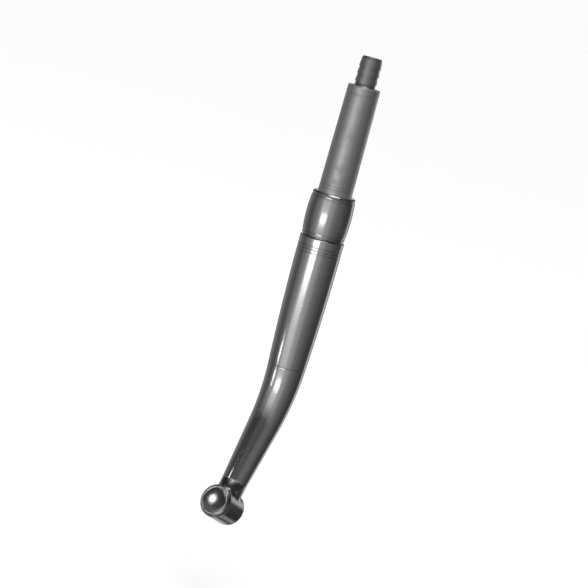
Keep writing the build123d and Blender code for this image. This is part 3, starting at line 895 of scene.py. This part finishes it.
def make_cap():
    """Screwed head cap: a short band over the seam, a soft top edge and the room for the button."""
    low, high = levels("head_cap", head_place)
    seam = levels("head_housing", head_place)[1]
    radius = radius_of("head_cap")
    seat, skirt = radii("head_cap", low, head_place)
    room = radii("head_cap", high, head_place)[0]
    outline = [
        (seat, low, 0),
        (skirt, low, 0.1),
        (skirt, seam + CAP_GAP, 0),
        (radius - CAP_INSET, seam + CAP_GAP, 0.08),
        (radius - CAP_INSET, high - CAP_EDGE_HEIGHT, 0.3),
        (radius - CAP_EDGE_WIDTH, high, 0.12),
        (room, high, 0.06),
        (room, CAP_SHELF_TOP, 0),
        (CAP_SHELF_HOLE, CAP_SHELF_TOP, 0.05),
        (CAP_SHELF_HOLE, CAP_SHELF_BASE, 0.05),
        (seat, CAP_SHELF_BASE, 0),
    ]
    bm = bmesh.new()
    turned(bm, outline, head_place)
    return piece("head_cap_turned", bm, "root", ["head_cap"], shaded_cap_metal)


RIM_INSET = 0.08
RIM_FOOT = 0.05
RIM_TOP_GAP = 0.01
RIM_STEPS = 12


def make_rim():
    """Rolled ring that keeps the button in the cap."""
    low, high = levels("cap_rim", head_place)
    bore, foot = radii("cap_rim", low, head_place)
    radius = foot - RIM_INSET
    outline = [(bore, low, 0.05), (radius, low, 0.03)]
    middle, half = (radius + bore) / 2, (radius - bore) / 2
    base, crest = low + RIM_FOOT, high - RIM_TOP_GAP
    for step in range(1, RIM_STEPS):
        angle = pi * step / RIM_STEPS
        outline.append((middle + half * cos(angle), base + (crest - base) * sin(angle), 0))
    bm = bmesh.new()
    turned(bm, outline, head_place)
    return piece("cap_rim_rolled", bm, "root", ["cap_rim"], shaded_cap_metal)


BUTTON_RADIUS = 3.5
BUTTON_EDGE = 5.55
BUTTON_RECESS = 5.3
BUTTON_FLANGE_BASE = 4.6
BUTTON_FLANGE_TOP = 5.04
BUTTON_WALL = 0.8
CROWN_STEPS = 8


def make_button():
    """Push button: low crown with a spun finish, its flange and its stem."""
    low, high = levels("push_button", head_place)
    flange = radius_of("push_button")
    inside = flange - BUTTON_WALL
    stem = radii("push_button", low, head_place)[1]
    outline = []
    for step in range(CROWN_STEPS):
        share = step / CROWN_STEPS
        outline.append((BUTTON_RADIUS * share, BUTTON_EDGE + (high - BUTTON_EDGE) * (1 - share ** 2), 0))
    outline += [(BUTTON_RADIUS, BUTTON_EDGE, 0.12), (BUTTON_RADIUS, BUTTON_FLANGE_TOP, 0)]
    outline += [(flange, BUTTON_FLANGE_TOP, 0.05), (flange, BUTTON_FLANGE_BASE, 0.05)]
    outline += [(inside, BUTTON_FLANGE_BASE, 0.05), (inside, BUTTON_RECESS, 0)]
    outline += [(stem, BUTTON_RECESS, 0), (stem, low, 0.1), (0, low, 0)]
    bm = bmesh.new()
    turned(bm, outline, head_place, closed=False)
    return piece("push_button_turned", bm, "button", ["push_button"], shaded_button_metal)


SPRING_TURNS = 2.5
SPRING_STEPS = 120
WIRE_SIDES = 12


def make_spring():
    """Button spring, wound at its CAD length; the real one shortens to the cap's shelf when the button goes
    in.
    """
    low, high = levels("button_spring", head_place)
    reach = [corner.xy.length for corner in corners("button_spring", head_place)]
    coil, wire = (max(reach) + min(reach)) / 2, (max(reach) - min(reach)) / 2
    rise = high - low - 2 * wire
    bm = bmesh.new()
    rings = []
    for step in range(SPRING_STEPS + 1):
        share = step / SPRING_STEPS
        turn = 2 * pi * SPRING_TURNS * share
        level = low + wire + rise * share
        ring = []
        for side in range(WIRE_SIDES):
            angle = 2 * pi * side / WIRE_SIDES
            out = coil + wire * cos(angle)
            point = Vector((out * cos(turn), out * sin(turn), level + wire * sin(angle)))
            ring.append(bm.verts.new(head_place @ point))
        rings.append(ring)
    bridge_all(bm, rings, False)
    bm.faces.new(rings[0])
    bm.faces.new(rings[-1])
    made = piece("button_spring_wound", bm, "root", ["button_spring"], spring_metal)
    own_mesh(made)
    return made


make_spigot()
for stub in ("stub_drive_air", "stub_exhaust", "stub_chip_air", "stub_water"):
    make_stub(stub)
make_sleeve()
make_nut()
make_connector()
make_handle()
make_neck()
make_head()
make_cap()
make_rim()
make_button()
make_spring()

# ---------------------------------------------------------------- studio and camera, in metres

VIEW_AZIMUTH = radians(-58.0)
VIEW_ELEVATION = radians(10.0)
LEAN = radians(15.5)
FOCAL_LENGTH = 120.0
CAMERA_DISTANCE = 0.56

FLOOR_RADIUS = 12.0
FLOOR_SEGMENTS = 96
FLOOR_DROP = 0.02
FLOOR_TONE = 0.88
FLOOR_ROUGHNESS = 0.9
BACKDROP = 0.97

# brightness of the studio's walls by degrees round the object, with the camera at 0
WALL_BANDS = (
    (-180, 0.75),
    (-169, 0.70),
    (-165, 0.16),
    (-150, 0.24),
    (-136, 0.24),
    (-120, 0.14),
    (-92, 0.07),
    (-66, 0.20),
    (-52, 0.26),
    (-40, 0.58),
    (-12, 0.60),
    (-2, 0.40),
    (16, 0.32),
    (30, 0.18),
    (60, 0.10),
    (90, 0.05),
    (124, 0.05),
    (130, 0.55),
    (142, 0.55),
    (150, 0.22),
    (165, 0.14),
    (169, 0.70),
    (180, 0.75),
)
# the walls' brightness times this, by degrees above the object
HEIGHT_BANDS = ((-90, 0.5), (-46, 0.6), (-22, 0.95), (6, 1.0), (18, 0.12), (44, 0.10), (60, 0.8), (90, 1.2))

low_corner, high_corner = Vector(cad_box[0]), Vector(cad_box[1])
box_middle = (low_corner + high_corner) / 2


def towards(azimuth, elevation):
    """Unit vector from the object towards a place round it."""
    return Vector((sin(azimuth) * cos(elevation), -cos(azimuth) * cos(elevation), sin(elevation)))


def make_camera():
    """Camera on the viewing side, rolled so that the handle leans as it hangs from its hose."""
    back = towards(VIEW_AZIMUTH, VIEW_ELEVATION)
    right = Vector((0, 0, 1)).cross(back).normalized()
    up = back.cross(right)
    x_axis = right * cos(LEAN) + up * sin(LEAN)
    camera = bpy.data.objects.new("camera", bpy.data.cameras.new("camera"))
    bpy.context.scene.collection.objects.link(camera)
    camera.matrix_world = placed(box_middle + back * CAMERA_DISTANCE, x_axis, back)
    camera.data.lens = FOCAL_LENGTH
    bpy.context.scene.camera = camera


def make_floor():
    """Plain pale floor below the hanging handpiece, which the metal doesn't mirror."""
    mesh = bpy.data.meshes.new("floor")
    bm = bmesh.new()
    bmesh.ops.create_circle(bm, cap_ends=True, segments=FLOOR_SEGMENTS, radius=FLOOR_RADIUS)
    bm.to_mesh(mesh)
    bm.free()
    floor = bpy.data.objects.new("floor", mesh)
    bpy.context.scene.collection.objects.link(floor)
    floor.location = (0, 0, low_corner.z - FLOOR_DROP)
    shader = Shader("pale_floor")
    shader.surface.inputs["Base Color"].default_value = (FLOOR_TONE, FLOOR_TONE, FLOOR_TONE, 1.0)
    shader.surface.inputs["Roughness"].default_value = FLOOR_ROUGHNESS
    shader.surface.inputs["Specular IOR Level"].default_value = 0.0
    mesh.materials.append(shader.material)
    floor.visible_glossy = False


def add_light(name, azimuth, elevation, distance, size, power, shape="RECTANGLE", target=box_middle):
    """Area light that shines on a target from a place round it, with the camera at azimuth 0."""
    light = bpy.data.lights.new(name, "AREA")
    light.shape = shape
    light.size, light.size_y = size
    light.energy = power
    lamp = bpy.data.objects.new(name, light)
    bpy.context.scene.collection.objects.link(lamp)
    back = towards(VIEW_AZIMUTH + radians(azimuth), radians(elevation))
    lamp.location = target + back * distance
    lamp.visible_camera = False
    lamp.rotation_euler = back.to_track_quat("Z", "Y").to_euler()


def set_ramp(ramp, stops):
    """Grey stops of a colour ramp, from pairs of place and level, in rising order."""
    ramp.elements[0].position, ramp.elements[1].position = stops[0][0], stops[-1][0]
    for place, _ in stops[1:-1]:
        ramp.elements.new(place)
    for element, (_, level) in zip(ramp.elements, stops):
        element.color = (level, level, level, 1.0)


def mirrored_walls(studio):
    """Background of dark and light bands round the object and above it."""
    direction = studio.node("ShaderNodeTexCoord").outputs["Generated"]
    turn = studio.node("ShaderNodeVectorRotate", {"Vector": direction}, rotation_type="Z_AXIS")
    turn.inputs["Angle"].default_value = -VIEW_AZIMUTH
    parts = studio.node("ShaderNodeSeparateXYZ", {0: turn.outputs[0]}).outputs
    azimuth = studio.math("ARCTAN2", parts["X"], studio.math("MULTIPLY", parts["Y"], -1.0))
    walls = studio.node("ShaderNodeValToRGB", {0: studio.math("MULTIPLY_ADD", azimuth, 1 / (2 * pi), 0.5)})
    set_ramp(walls.color_ramp, [(degrees / 360 + 0.5, level) for degrees, level in WALL_BANDS])
    heights = studio.node("ShaderNodeValToRGB", {0: studio.math("MULTIPLY_ADD", parts["Z"], 0.5, 0.5)})
    height_stops = [(sin(radians(degrees)) / 2 + 0.5, level) for degrees, level in HEIGHT_BANDS]
    set_ramp(heights.color_ramp, height_stops)
    inputs = {"Color": walls.outputs["Color"], "Strength": heights.outputs["Color"]}
    return studio.node("ShaderNodeBackground", inputs).outputs[0]


def make_world():
    """Studio round the object: pale where the camera looks, and walls that only the metal mirrors."""
    world = bpy.data.worlds.new("studio")
    bpy.context.scene.world = world
    world.use_nodes = True
    world.node_tree.nodes.clear()
    studio = Nodes(world.node_tree)
    white = (1.0, 1.0, 1.0, 1.0)
    pale = (BACKDROP, BACKDROP, BACKDROP, 1.0)
    seen = studio.node("ShaderNodeBackground", {"Color": pale}).outputs[0]
    inputs = {"Color": white, "Strength": BACKDROP / FLOOR_TONE}
    soft = studio.node("ShaderNodeBackground", inputs).outputs[0]
    path = studio.node("ShaderNodeLightPath").outputs
    inputs = {0: path["Is Glossy Ray"], 1: soft, 2: mirrored_walls(studio)}
    unseen = studio.node("ShaderNodeMixShader", inputs).outputs[0]
    choice = studio.node("ShaderNodeMixShader", {0: path["Is Camera Ray"], 1: unseen, 2: seen}).outputs[0]
    studio.node("ShaderNodeOutputWorld", {"Surface": choice})


make_camera()
make_floor()
make_world()
add_light("overhead", azimuth=20, elevation=80, distance=1.0, size=(0.5, 0.5), power=1.2)
add_light("low_box", azimuth=-22, elevation=-7.5, distance=0.8, size=(0.42, 0.085), power=0.26)
add_light(
    "head_lamp",
    azimuth=-65.6,
    elevation=22,
    distance=0.07,
    size=(0.010, 0.010),
    power=0.0008,
    shape="DISK",
    target=head_centre * MM,
)
bpy.context.scene.view_settings.view_transform = "Standard"
